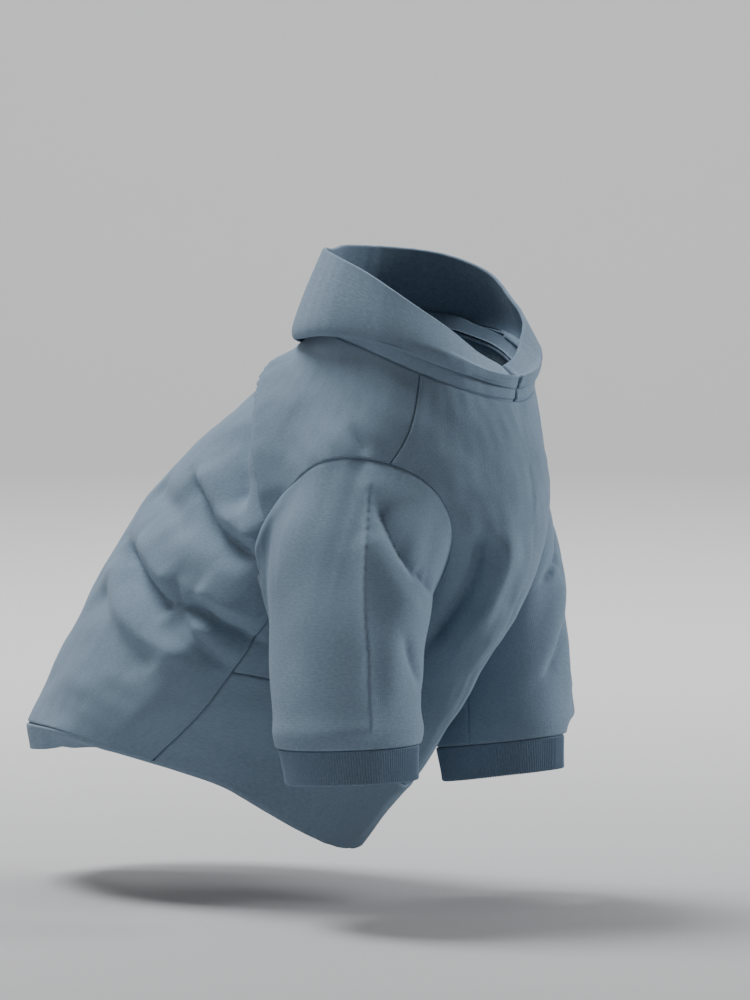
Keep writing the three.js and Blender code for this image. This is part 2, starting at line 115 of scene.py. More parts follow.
def trunk_form(ring, turn):
    """The trunk's outer face without folds."""
    x, z, depth, width, slope, lift, pinch = along_rows(
        range(last_ring + 1), trunk_rings * ring_lengths, ring
    ).T
    angle, slope = np.radians(turn), np.radians(slope)
    along = -np.cos(angle) / 2
    x = x + depth * along * np.cos(slope)
    z = z - depth * along * np.sin(slope) + lift * np.sin(angle) ** 2
    narrow = 1 - pinch * smooth_step(pinch_from, pinch_to, along)
    flat = np.sin(angle) * width * narrow / 2
    reach = np.where(x < 0, shoulder_bulge["behind"], shoulder_bulge["ahead"]) * trunk_reach
    rise = (z / trunk_drop - shoulder_bulge["middle"]) / shoulder_bulge["height"]
    round_off = np.clip(1 - (x / reach) ** 2 - rise ** 2, 0, 1) ** 2
    outward = np.sign(flat) * smooth_step(0, shoulder_bulge["full_from"], np.abs(np.sin(angle)))
    return np.stack([x, flat + shoulder_rise * round_off * outward, z], axis=1)


def unit(vectors):
    return vectors / np.maximum(np.linalg.norm(vectors, axis=1, keepdims=True), 1e-12)


def trunk_normal(ring, turn):
    nudge = 0.02
    at = np.clip(ring, nudge, last_ring - nudge)
    down = trunk_form(at + nudge, turn) - trunk_form(at - nudge, turn)
    around = trunk_form(at, turn + 1) - trunk_form(at, turn - 1)
    return unit(np.cross(around, down))


# Folds of the trunk: side (1 left, -1 right), rings, turns, then in millimetres height, half width above and
# half width below, and edge, from 2 for a soft fold to 1 for a sharp one.
trunk_folds = [
    (-1, (0.7, 1.4, 1.9, 2.4, 2.9, 3.4), (22, 32, 52, 64, 76, 86), 6.0, 26, 3, 1.2),
    (-1, (0.8, 1.52, 2.02, 2.52, 3.05, 3.5), (14, 24, 45, 58, 70, 79), -10.5, 4, 22, 1.2),
    (-1, (3.15, 3.35, 3.58, 3.68, 3.72), (46, 58, 72, 82, 90), 5.5, 18, 6, 1.6),
    (-1, (3.30, 3.50, 3.78, 3.88, 3.98), (44, 58, 70, 80, 92), -9.0, 4.5, 16, 1.25),
    (-1, (3.70, 3.83, 3.85, 3.98, 4.17), (24, 33, 48, 58, 69), -5.0, 10, 14, 1.6),
    (-1, (4.0, 4.15, 4.3, 4.5), (44, 62, 78, 92), 4.5, 12, 18, 2),
    (-1, (4.40, 4.62, 4.78, 4.86), (42, 56, 66, 74), 5.0, 14, 6, 1.6),
    (-1, (4.60, 4.80, 4.93, 5.03, 5.12, 5.18), (34, 48, 56, 64, 70, 78), -11.0, 6, 14, 1.3),
    (-1, (5.18, 5.40, 5.60, 5.93), (76, 85, 92, 102), -3.0, 5, 8, 1.0),
    (-1, (4.74, 4.98, 5.14), (73, 76, 78), -4.5, 4, 4, 1.3),
    (-1, (4.78, 4.76, 4.83, 4.98), (80, 86, 92, 101), 5.5, 16, 6, 1.6),
    (-1, (5.06, 5.03, 5.05, 5.22, 5.38), (76, 82, 86, 94, 104), -10.0, 5, 12, 1.25),
    (-1, (5.25, 5.33, 5.38), (83, 90, 96), 3.5, 6, 7, 1.8),
    (-1, (4.90, 5.08, 5.50, 5.80, 5.85, 6.00), (34, 45, 58, 72, 84, 92), 5.5, 12, 18, 1.8),
    (-1, (5.40, 5.53, 5.90, 6.08, 6.25), (36, 47, 65, 75, 86), -5.0, 12, 16, 1.8),
    (-1, (1.2, 1.5, 1.75), (97, 105, 111), -2.4, 11, 6, 1.1),
    (-1, (6.0, 5.8, 5.6), (102, 95, 86), -3.0, 8, 6, 1.1),
    (-1, (6.6, 6.9, 7.1), (40, 62, 84), 2.6, 22, 22, 2),
    (-1, (2.5, 3.1, 3.7, 4.2, 4.9), (152, 152, 149, 145, 141), -10.0, 14, 12, 1.2),
    (-1, (2.4, 3.0, 3.7, 4.6), (164, 164, 162, 156), 5.0, 16, 12, 1.8),
    (1, (0.8, 1.5, 2.0, 2.6, 3.3), (28, 38, 56, 70, 82), 4.2, 24, 5, 1.4),
    (1, (0.9, 1.65, 2.15, 2.75, 3.5), (18, 28, 47, 62, 74), -5.5, 5, 22, 1.4),
    (1, (3.5, 3.75, 4.1), (48, 68, 92), -6.5, 6, 16, 1.3),
    (1, (4.0, 4.3, 4.6), (46, 66, 90), 4.5, 14, 14, 2),
    (1, (4.5, 4.9, 5.2, 5.5), (32, 54, 72, 94), -8.5, 7, 14, 1.3),
    (1, (5.0, 5.6, 6.0), (40, 62, 88), 5.0, 14, 18, 1.8),
    (1, (5.4, 5.6, 5.8), (84, 92, 102), -5.5, 6, 9, 1.2),
    (1, (2.7, 3.7, 4.7), (150, 150, 143), -7.5, 16, 12, 1.3),
    (1, (6.7, 6.9, 7.0), (38, 60, 84), 2.4, 22, 22, 2),
]
ring_pitch = 0.036  # one ring down the trunk
degree_pitch = 0.0020  # one degree round it
fold_tip_run, fold_tip_height = 0.8, 0.15  # a fold sinks to this share of its height over its last places


def fold_heights(folds, down_pitch, round_pitch, down, turn):
    """How far a table of folds moves the cloth outwards, in metres."""
    height = np.zeros(len(down))
    for side, rings, turns, rise, above, below, edge in folds:
        at = np.stack([down * down_pitch, ((turn * side + 90) % 360 - 90) * round_pitch], axis=1)
        places = np.array([(r * down_pitch, t * round_pitch) for r, t in zip(rings, turns)])
        nearest = np.full(len(down), np.inf)
        across, along = np.zeros(len(down)), np.zeros(len(down))
        for k, (start, end) in enumerate(zip(places[:-1], places[1:])):
            run = end - start
            rel = at - start
            share = np.clip(rel @ run / (run @ run), 0, 1)
            distance = np.linalg.norm(rel - share[:, None] * run, axis=1)
            closer = distance < nearest
            nearest = np.where(closer, distance, nearest)
            across = np.where(closer, rel[:, 0] * run[1] - rel[:, 1] * run[0], across)
            along = np.where(closer, k + share, along)
        last = len(places) - 1
        half = min(fold_tip_run, last / 2)
        inner = smooth_step(0, half, along) * smooth_step(last, last - half, along)
        taper = fold_tip_height + (1 - fold_tip_height) * inner
        width = np.where(across > 0, below, above) / 1000
        height += rise / 1000 * taper * np.exp(-2 * np.abs(nearest / width) ** edge)
    return height


wave_count = 9
wave_shortest, wave_longest = 0.7, 1.5  # of the size that is asked for


def soft_waves(across, down, seed, size, height):
    """The unevenness of soft cloth: a few waves of about one size in all directions."""
    chance = np.random.default_rng(seed)
    total = np.zeros(len(across))
    for _ in range(wave_count):
        heading = chance.uniform(0, math.pi)
        turns = 2 * math.pi / (size * chance.uniform(wave_shortest, wave_longest))
        phase = chance.uniform(0, 2 * math.pi)
        total += np.sin(turns * (across * math.cos(heading) + down * math.sin(heading)) + phase)
    return total / math.sqrt(wave_count) * height


lip_radius = 0.0016
seam_allowance = 0.0014
seam_swell, swell_from_seam, swell_width = 0.0004, 0.003, 0.0035


def seam_lip(distance, raised=0.0):
    """How the outer face rolls in at a seam, and swells beside it over the seam allowance."""
    near = np.clip(distance, 0, lip_radius)
    roll = lip_radius - np.sqrt(lip_radius ** 2 - (lip_radius - near) ** 2)
    return raised * np.exp(-((distance - swell_from_seam) / swell_width) ** 2) - roll


def side_seam(ring):
    share = smooth_step(seam_swings_from, seam_swings_to, ring)
    return shoulder_seam_at_neck + share * (side_seam_turn - shoulder_seam_at_neck)


def armhole_place(ring, turn):
    """How far from an armhole's middle a place lies, 1 at its edge, and its distance from that edge."""
    ahead = np.abs((turn + 180) % 360 - 180) - armhole_turn
    up = (armhole_ring - ring - ahead * armhole_tilt) / (1 + armhole_lean * armhole_tilt)
    ahead = ahead + up * armhole_lean
    ahead_length = ahead / armhole_degrees_per_depth * trunk_depth
    up_length = up / armhole_rings_per_drop * trunk_drop
    power = 2 / armhole_fullness
    share = np.abs(2 * ahead_length / armhole_depth) ** power
    share += np.abs(2 * up_length / armhole_height) ** power
    share = np.maximum(share, 1e-9) ** (1 / power)
    return share, (share - 1) / share * np.hypot(ahead_length, up_length)


trunk_waves = [(5, 0.055, 0.0007), (8, 0.017, 0.00016)]  # seed, size, height


def trunk_relief(ring, turn):
    across, down = ((turn + 180) % 360 - 180) * degree_pitch, ring * ring_pitch
    relief = fold_heights(trunk_folds, ring_pitch, degree_pitch, ring, turn)
    for seed, size, height in trunk_waves:
        relief = relief + soft_waves(across, down, seed, size, height)
    return relief


def trunk_cloth(ring, turn, edges):
    """The outer face of a trunk panel. edges are the ring and turn of its seams nearest to each point, and
    how much the cloth swells beside them."""
    form = trunk_form(ring, turn)
    out = trunk_relief(ring, turn)
    for edge_ring, edge_turn, swell in edges:
        distance = np.linalg.norm(form - trunk_form(edge_ring, edge_turn), axis=1)
        out += seam_lip(distance, swell)
    out += seam_lip(np.clip(armhole_place(ring, turn)[1], 0, None))
    return form + trunk_normal(ring, turn) * out[:, None]


seam_steps = np.array([0, 0.35, 0.75, 1.2, 1.8, 2.8, 4.2, 6.0]) / 1000


def panel_steps(count, length):
    """Shares across a panel, with fine steps at its two seams."""
    fine = seam_steps / length
    middle = np.linspace(fine[-1], 1 - fine[-1], count)
    return np.concatenate([fine[:-1], middle, 1 - fine[-2::-1]])


def flat_cloth(down_steps, across_steps):
    """A flat piece of cloth as it is cut: x is the share across it, and y the share down it, negative."""
    cloth = bmesh.new()
    columns, rows = len(across_steps) - 1, len(down_steps) - 1
    bmesh.ops.create_grid(cloth, x_segments=columns, y_segments=rows, size=0.5)
    for vert in cloth.verts:
        column = round((vert.co.x + 0.5) * columns)
        row = round((0.5 - vert.co.y) * rows)
        vert.co = (across_steps[column], -down_steps[row], 0)
    return cloth


def onto_armhole(rim, place):
    """Moves cut edges to the armhole's line, and along the seam where they lie on one."""
    nudge = 1e-4
    across, along = np.array([vert.co[:2] for vert in rim]).T
    free = (across > nudge) & (across < 1 - nudge)
    for _ in range(4):
        distance = armhole_place(*place(-along, across))[1]
        by_across = (armhole_place(*place(-along, across + nudge))[1] - distance) / nudge * free
        by_along = (armhole_place(*place(-along - nudge, across))[1] - distance) / nudge
        step = distance / (by_across ** 2 + by_along ** 2)
        across, along = across - step * by_across, along - step * by_along
    for vert, x, y in zip(rim, across, along):
        vert.co = (x, y, 0)


armhole_fine_bands = (0.012, 0.005, 0.0022)  # within each of these of its edge the cloth is twice as fine


def cut_armholes(cloth, place):
    """Cuts the armholes out of a flat panel, with finer cloth towards their edges. place gives ring and turn
    for shares of the panel."""
    for band in armhole_fine_bands:
        shares = np.array([vert.co[:2] for vert in cloth.verts])
        distance = armhole_place(*place(-shares[:, 1], shares[:, 0]))[1]
        near = [
            edge
            for edge in cloth.edges
            if min(abs(distance[vert.index]) for vert in edge.verts) < band
        ]
        bmesh.ops.subdivide_edges(cloth, edges=near, cuts=1, use_grid_fill=True)
        cloth.verts.index_update()
    faces = list(cloth.faces)
    middles = np.array([face.calc_center_median()[:2] for face in faces])
    inside = armhole_place(*place(-middles[:, 1], middles[:, 0]))[1] < 0
    gone = [face for face, cut in zip(faces, inside) if cut]
    rim = {vert for face in gone for vert in face.verts}
    bmesh.ops.delete(cloth, geom=gone, context="FACES")
    rim = sorted((vert for vert in rim if vert.is_valid), key=lambda vert: tuple(vert.co))
    onto_armhole(rim, place)
    cloth.verts.index_update()


def lay_cloth(cloth, place, width, length):
    """Lays a flat cloth on its place. Its cut, in metres, stays as its UV map, so the knit follows it."""
    weave = cloth.loops.layers.uv.new("weave")
    for face in cloth.faces:
        face.smooth = True
        for loop in face.loops:
            loop[weave].uv = (loop.vert.co.x * width, loop.vert.co.y * length)
    shares = np.array([vert.co[:2] for vert in cloth.verts])
    for vert, point in zip(cloth.verts, place(-shares[:, 1], shares[:, 0])):
        vert.co = point


def linear(colour):
    """An sRGB hex colour as the linear one that a shader takes."""
    parts = [int(colour[k:k + 2], 16) / 255 for k in (1, 3, 5)]
    return [c / 12.92 if c <= 0.04045 else ((c + 0.055) / 1.055) ** 2.4 for c in parts] + [1]


def add_node(tree, kind, settings=(), links=()):
    """Adds a node, sets its options and sockets by name or number, and links what feeds it."""
    made = tree.nodes.new(kind)
    for name, value in dict(settings).items():
        if isinstance(name, int) or name in made.inputs:
            made.inputs[name].default_value = value
        else:
            setattr(made, name, value)
    for name, source in dict(links).items():
        tree.links.new(source, made.inputs[name])
    return made


fleck_wales = 2.2  # wales that one fleck of pale or dark fibre reaches across
mottle_per_metre, dye_per_metre, fuzz_per_metre = 260, 14, 900
fleck_share, mottle_share, fleck_offset = 0.9, 0.12, -0.01  # of the yarn's tone


def knit_material(name, colours, wale, course, stitch_height, fuzz_height, sheen):
    """Knitted cotton. Pale and dark fibres are spun into the yarn, and the stitches lie in wales and
    courses."""
    material = bpy.data.materials.new(name)
    material.use_nodes = True
    tree = material.node_tree
    tree.nodes.clear()
    place = add_node(tree, "ShaderNodeUVMap", {"uv_map": "weave"}).outputs["UV"]
    solid_place = add_node(tree, "ShaderNodeTexCoord").outputs["Object"]
    stretched = add_node(
        tree, "ShaderNodeMapping", {"Scale": (1 / (fleck_wales * wale), 1 / course, 1)}, {"Vector": place}
    )
    flecks = add_node(
        tree, "ShaderNodeTexNoise", {"Scale": 1.1, "Detail": 3, "Roughness": 0.65},
        {"Vector": stretched.outputs[0]},
    )
    mottle = add_node(
        tree, "ShaderNodeTexNoise", {"Scale": mottle_per_metre, "Detail": 4}, {"Vector": solid_place}
    )
    dye = add_node(
        tree, "ShaderNodeTexNoise", {"Scale": dye_per_metre, "Detail": 2}, {"Vector": solid_place}
    )
    fibre = add_node(
        tree, "ShaderNodeMath", {"operation": "MULTIPLY_ADD", 1: fleck_share, 2: fleck_offset},
        {0: flecks.outputs[0]},
    )
    cloud = add_node(
        tree, "ShaderNodeMath", {"operation": "MULTIPLY_ADD", 1: mottle_share},
        {0: mottle.outputs[0], 2: fibre.outputs[0]},
    )
    ramp = add_node(tree, "ShaderNodeValToRGB", (), {"Fac": cloud.outputs[0]})
    ramp.color_ramp.elements[0].position = 0.26
    ramp.color_ramp.elements[1].position = 0.76
    ramp.color_ramp.elements[0].color = linear(colours[0])
    ramp.color_ramp.elements[1].color = linear(colours[2])
    ramp.color_ramp.elements.new(0.5).color = linear(colours[1])
    uneven = add_node(
        tree, "ShaderNodeMapRange", {"From Min": 0.3, "From Max": 0.7, "To Min": 0.975, "To Max": 1.02},
        {"Value": dye.outputs[0]},
    )
    tone = add_node(
        tree, "ShaderNodeVectorMath", {"operation": "SCALE"},
        {0: ramp.outputs[0], "Scale": uneven.outputs[0]},
    )
    wales = add_node(
        tree, "ShaderNodeMapping", {"Scale": (math.pi / wale, 2 * math.pi / course, 1)}, {"Vector": place}
    )
    split = add_node(tree, "ShaderNodeSeparateXYZ", (), {0: wales.outputs[0]})
    ridge = add_node(tree, "ShaderNodeMath", {"operation": "SINE"}, {0: split.outputs[0]})
    tall = add_node(tree, "ShaderNodeMath", {"operation": "ABSOLUTE"}, {0: ridge.outputs[0]})
    lean = add_node(
        tree, "ShaderNodeMath", {"operation": "MULTIPLY_ADD", 1: 1.6},
        {0: tall.outputs[0], 2: split.outputs[1]},
    )
    loops = add_node(tree, "ShaderNodeMath", {"operation": "SINE"}, {0: lean.outputs[0]})
    stitch = add_node(
        tree, "ShaderNodeMath", {"operation": "MULTIPLY_ADD", 1: 0.35},
        {0: loops.outputs[0], 2: tall.outputs[0]},
    )
    fuzz = add_node(
        tree, "ShaderNodeTexNoise", {"Scale": fuzz_per_metre, "Detail": 4, "Roughness": 0.7},
        {"Vector": solid_place},
    )
    stitch_bump = add_node(
        tree, "ShaderNodeBump", {"Strength": 1.0, "Distance": stitch_height}, {"Height": stitch.outputs[0]}
    )
    fuzz_bump = add_node(
        tree, "ShaderNodeBump", {"Strength": 1.0, "Distance": fuzz_height},
        {"Height": fuzz.outputs[0], "Normal": stitch_bump.outputs[0]},
    )
    shader = add_node(
        tree,
        "ShaderNodeBsdfPrincipled",
        {
            "Roughness": 0.92,
            "IOR": 1.45,
            "Specular IOR Level": 0.25,
            "Sheen Weight": sheen,
            "Sheen Roughness": 0.45,
            "Sheen Tint": linear("#c9d6e2"),
        },
        {"Base Color": tone.outputs[0], "Normal": fuzz_bump.outputs[0]},
    )
    add_node(tree, "ShaderNodeOutputMaterial", (), {"Surface": shader.outputs[0]})
    return material


# Smooth jersey face of cotton sweatshirt fleece: matt, with a faint mottle from pale and dark fibres. Its
# stitches are about 0.9 mm wide, and are drawn at 1.3 mm so that they just show.
fleece_face = knit_material(
    "sweatshirt_fleece_face", ("#6f8295", "#7c90a3", "#899cae"), 0.0013, 0.0011, 0.00004, 0.00014, 0.12
)
# The inside, brushed up to a short soft pile that hides its stitches.
fleece_back = knit_material(
    "brushed_fleece_back", ("#6d7f91", "#7e909f", "#8fa0ae"), 0.0022, 0.0022, 0.00002, 0.00035, 0.3
)


def turn_in_edges(cloth, allowance):
    """Lets the edges of a cloth go on inwards, as they roll at its seams, for the seam allowance."""
    rim = [edge for edge in cloth.edges if edge.is_boundary]
    ways = {}
    for vert in {vert for edge in rim for vert in edge.verts}:
        inner = [edge.other_vert(vert).co for edge in vert.link_edges if not edge.is_boundary]
        inner = inner or [edge.other_vert(vert).co for edge in vert.link_edges]
        ways[vert] = (vert.co - sum(inner, Vector()) / len(inner)).normalized()
    for _ in range(3):
        beside = {
            vert: [ways[edge.other_vert(vert)] for edge in vert.link_edges if edge.is_boundary]
            for vert in ways
        }
        ways = {vert: sum(beside[vert], way).normalized() for vert, way in ways.items()}
    made = bmesh.ops.extrude_edge_only(cloth, edges=rim)["geom"]
    for vert in [part for part in made if isinstance(part, bmesh.types.BMVert)]:
        root = next(edge.other_vert(vert) for edge in vert.link_edges if edge.other_vert(vert) in ways)
        vert.co = root.co + ways[root] * allowance


def finish_cloth(name, cloth, wall, materials):
    """Makes a laid cloth an object with its wall inwards, the second material on its inner face."""
    if wall:
        turn_in_edges(cloth, seam_allowance)
    mesh = bpy.data.meshes.new(name)
    cloth.to_mesh(mesh)
    cloth.free()
    for material in materials:
        mesh.materials.append(material)
    piece = bpy.data.objects.new(name, mesh)
    bpy.context.collection.objects.link(piece)
    if wall:
        inner = piece.modifiers.new("wall", "SOLIDIFY")
        inner.thickness, inner.offset = wall, -1
        inner.material_offset, inner.material_offset_rim = len(materials) - 1, 0
    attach(piece, "root")
    return piece


def back_place(down, across):
    """Where a share of the flat back panel lies on the trunk, as ring and turn."""
    ring = down * last_ring
    return ring, (1 - 2 * across) * side_seam(ring)


def back_cloth(down, across):
    ring, turn = back_place(down, across)
    seam = side_seam(ring)
    edges = [(0 * ring, turn, 0), (0 * ring + last_ring, turn, 0), (ring, seam, 0), (ring, -seam, 0)]
    return trunk_cloth(ring, turn, edges)


back_length, back_width = 0.385, 0.420
panel = flat_cloth(panel_steps(150, back_length), panel_steps(168, back_width))
cut_armholes(panel, back_place)
lay_cloth(panel, back_cloth, back_width, back_length)
back = finish_cloth("back", panel, fleece_wall, [fleece_face, fleece_back])
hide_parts("back_panel")

# Chest panel. The same fleece, cut from the neck down between the two armholes to the cross seam on the
# belly. The front of the neck seam and the side seams hold it.
cross_seam_at_side, cross_seam_at_front = 6, 7


def cross_seam(across):
    return cross_seam_at_side + (cross_seam_at_front - cross_seam_at_side) * smooth_step(
        0, 1, 1 - np.abs(2 * across - 1)
    )


def front_turn(ring, across):
    return 180 + (1 - 2 * across) * (180 - side_seam(ring))


def chest_place(down, across):
    ring = down * cross_seam(across)
    return ring, front_turn(ring, across)


def chest_cloth(down, across):
    ring, turn = chest_place(down, across)
    seam = side_seam(ring)
    edges = [
        (0 * ring, turn, 0),
        (cross_seam(across), turn, 0),
        (ring, seam, seam_swell),
        (ring, 360 - seam, seam_swell),
    ]
    return trunk_cloth(ring, turn, edges)


chest_length, chest_width = 0.280, 0.240
panel = flat_cloth(panel_steps(130, chest_length), panel_steps(110, chest_width))
cut_armholes(panel, chest_place)
lay_cloth(panel, chest_cloth, chest_width, chest_length)
chest = finish_cloth("chest", panel, fleece_wall, [fleece_face, fleece_back])
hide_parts("chest_panel")

# Belly panel. A shallow piece of the same fleece under the belly, from the cross seam to the hem, set in
# with the side seams. Its grain runs as the chest's does.
belly_length, belly_width = 0.075, 0.240


def belly_cloth(down, across):
    seam_ring = cross_seam(across)
    ring = seam_ring + down * (last_ring - seam_ring)
    turn = front_turn(ring, across)
    seam = side_seam(ring)
    edges = [
        (seam_ring, turn, seam_swell),
        (0 * ring + last_ring, turn, 0),
        (ring, seam, seam_swell),
        (ring, 360 - seam, seam_swell),
    ]
    return trunk_cloth(ring, turn, edges)


panel = flat_cloth(panel_steps(36, belly_length), panel_steps(90, belly_width))
lay_cloth(panel, belly_cloth, belly_width, belly_length)
belly = finish_cloth("belly", panel, fleece_wall, [fleece_face, fleece_back])
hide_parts("belly_panel")

# Sleeves. Each is one piece of fleece closed by a seam on its under side, sewn into the armhole. It was
# pressed flat, so a crease runs down its outside, and the cloth tucks in where the front of the sleeve head
# meets the chest.
sleeve_spread = 0.080
sleeve_forward = 0.003
sleeve_depth = 0.094
sleeve_breadth = 0.068
sleeve_drop = 0.222
sleeves = [
    {"name": "right", "side": -1, "drop": 1, "spread": 1, "size": 1, "lift": 0.035},
    {"name": "left", "side": 1, "drop": 1.05, "spread": 0.92, "size": 0.94, "lift": 0.065},
]
# How a sleeve runs from the armhole to the cuff, as shares of its breadth, its depth or its fall. The under
# side begins and is full at two shares of the way from the top of the armhole to its bottom.
sleeve_run = {
    "bow": 0.2,
    "behind": 0.16,
    "rear_at_start": 0.2,
    "ahead": 0.15,
    "outside": 0.3,
    "underneath": 0.05,
    "arrive": 0.5,
    "under_from": -0.05,
    "under_full": 0.4,
}
# Folds of a sleeve, as those of the trunk, but down its length as a share and round it in degrees from its
# front.
sleeve_folds = [
    (1, (0.0, 0.16, 0.33, 0.51, 0.74, 0.92, 1.0), (90, 85, 75, 65, 50, 44, 43), 6.0, 12, 19, 0.9),
    (1, (0.16, 0.23, 0.30, 0.38, 0.44, 0.42, 0.34), (82, 72, 59, 44, 26, 6, -14), -5.0, 3.5, 14, 1.0),
    (1, (0.28, 0.36, 0.46, 0.54, 0.54), (78, 66, 48, 28, 0), 2.2, 18, 9, 1.8),
    (1, (0.64, 0.73, 0.78), (30, 4, -25), -4.5, 12, 10, 1.4),
    (1, (0.62, 0.78, 0.94), (32, 29, 24), 2.2, 12, 14, 2),
    (1, (0.5, 0.7, 0.88), (150, 128, 100), -2.4, 18, 18, 1.8),
    (1, (0.2, 0.4, 0.6), (165, 150, 140), 1.6, 20, 20, 2),
]
sleeve_length_pitch, sleeve_degree_pitch = 0.150, 0.00072
sleeve_waves = {"seed": 11, "size": 0.045, "height": 0.0008}
sleeve_wave_reach, sleeve_wave_length, sleeve_waves_apart = 0.05, 0.16, 0.03
seam_hold = 0.05  # the share of a sleeve at each end in which folds and waves sink to nothing
cuff_gather, gather_from_cuff, gather_width = 0.0016, 0.009, 0.008  # the sleeve swells above its cuff
underseam_angle = -90
sleeve_wall_clamp = 1.2  # in a tight turn, as behind, the wall is no thicker than this many mesh edges


def armhole_edge(side, angle, depth, out):
    sine, cosine = np.sin(angle), np.cos(angle)
    up = np.sign(sine) * np.abs(sine) ** armhole_fullness * (armhole_height / 2 + out)
    ahead = np.sign(cosine) * np.abs(cosine) ** armhole_fullness * (armhole_depth / 2 + out)
    up = up * armhole_rings_per_drop / trunk_drop
    ahead = ahead * armhole_degrees_per_depth / trunk_depth
    ring = armhole_ring - up - ahead * armhole_tilt
    turn = side * (armhole_turn + ahead - up * armhole_lean)
    relief = trunk_relief(ring, turn) - depth
    return trunk_form(ring, turn) + trunk_normal(ring, turn) * relief[:, None]


def cuff_edge(sleeve, angle, below, share):
    size = sleeve["size"] * share
    return np.stack(
        [
            sleeve_forward + np.cos(angle) * sleeve_depth * size / 2,
            sleeve["side"] * (sleeve_spread * sleeve["spread"] + np.sin(angle) * sleeve_breadth * size / 2),
            -sleeve_drop * sleeve["drop"] - below + np.cos(angle) * sleeve["lift"] * sleeve_depth,
        ],
        axis=1,
    )


def sleeve_form(sleeve, share, angle):
    start = armhole_edge(sleeve["side"], angle, lip_radius, lip_radius)
    end = cuff_edge(sleeve, angle, 0 * angle, 1)
    under = smooth_step(sleeve_run["under_from"], sleeve_run["under_full"], (1 - np.sin(angle)) / 2)
    fall = start[:, 2] - end[:, 2]
    bowed = np.abs(start[:, 1]) + sleeve_run["bow"] * sleeve_breadth * under
    across = sleeve["side"] * np.maximum(bowed, np.abs(end[:, 1] + start[:, 1]) / 2)
    leave_drop = sleeve_run["outside"] + under * (sleeve_run["underneath"] - sleeve_run["outside"])
    rear = sleeve_run["behind"] * sleeve_depth * np.maximum(0, -np.cos(angle))
    ahead = start[:, 0] + (end[:, 0] - start[:, 0]) * sleeve_run["ahead"]
    ahead = ahead - rear * sleeve_run["rear_at_start"]
    leave = np.stack([ahead, across, start[:, 2] - fall * leave_drop], axis=1)
    arrive = end + np.stack([-rear, 0 * fall, fall * sleeve_run["arrive"]], axis=1)
    t = share[:, None]
    return (1 - t) ** 3 * start + 3 * (1 - t) ** 2 * t * leave + 3 * (1 - t) * t ** 2 * arrive + t ** 3 * end


def sleeve_cloth(sleeve, down, across):
    angle = np.radians(underseam_angle) + sleeve["side"] * across * 2 * math.pi
    nudge = 0.01
    at = np.clip(down, nudge, 1 - nudge)
    along = sleeve_form(sleeve, at + nudge, angle) - sleeve_form(sleeve, at - nudge, angle)
    around = sleeve_form(sleeve, at, angle + nudge) - sleeve_form(sleeve, at, angle - nudge)
    normal = unit(np.cross(along, around)) * sleeve["side"]
    form = sleeve_form(sleeve, down, angle)
    turn = np.degrees(angle)
    free = smooth_step(0, seam_hold, down) * smooth_step(1, 1 - seam_hold, down)
    out = free * fold_heights(sleeve_folds, sleeve_length_pitch, sleeve_degree_pitch, down, turn)
    wave_place = np.sin(angle) * sleeve_wave_reach + sleeve_waves_apart * sleeve["side"]
    out += free * soft_waves(wave_place, down * sleeve_wave_length, **sleeve_waves)
    underseam = np.minimum(across, 1 - across) * 2 * math.pi * sleeve_breadth / 2
    out += seam_lip(underseam)
    out += seam_lip(np.linalg.norm(form - sleeve_form(sleeve, 0 * down, angle), axis=1), seam_swell)
    at_cuff = np.linalg.norm(form - sleeve_form(sleeve, 0 * down + 1, angle), axis=1)
    out += seam_lip(at_cuff) + cuff_gather * np.exp(-((at_cuff - gather_from_cuff) / gather_width) ** 2)
    return form + normal * out[:, None]


sleeve_length, sleeve_girth = 0.165, 0.270
for sleeve in sleeves:
    tube = flat_cloth(panel_steps(110, sleeve_length), panel_steps(160, sleeve_girth))
    lay_cloth(tube, lambda down, across: sleeve_cloth(sleeve, down, across), sleeve_girth, sleeve_length)
    bmesh.ops.remove_doubles(tube, verts=tube.verts, dist=1e-6)
    piece = finish_cloth(sleeve["name"] + "_arm", tube, fleece_wall, [fleece_face, fleece_back])
    piece.modifiers["wall"].thickness_clamp = sleeve_wall_clamp
    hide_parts(sleeve["name"] + "_sleeve")

# Cuffs. Each is a tube of cotton rib knit with a little elastane, folded double with the fold at its lower
# edge and sewn to the sleeve with both raw edges. It is cut smaller than the sleeve, so it draws in towards
# its mouth.
cuff_height = 0.021
cuff_at_seam, cuff_at_mouth = 0.985, 0.93
cuff_draws_in_from, cuff_draws_in_to = -0.4, 1.1  # as shares of its height
cuff_forward = 0.0024
rib_wall = 0.0028
rib_pitch = 0.0017
rib_height = 0.0007
rib_fullness = 0.8
rib_start = 0.002  # the ribs rise over this length below the seam
rib_points = 6  # columns of the mesh for each rib


def folded_wall(rows_down, rows_round):
    """A section folded double: the share down it, and the angle from its outer face round its fold to its
    inner face."""
    down = np.concatenate([rows_down, np.ones(rows_round - 1), rows_down[::-1]])
    bend = np.concatenate(
        [
            np.zeros(len(rows_down)),
            np.linspace(0, math.pi, rows_round + 1)[1:-1],
            np.full(len(rows_down), math.pi),
        ]
    )
    return down, bend


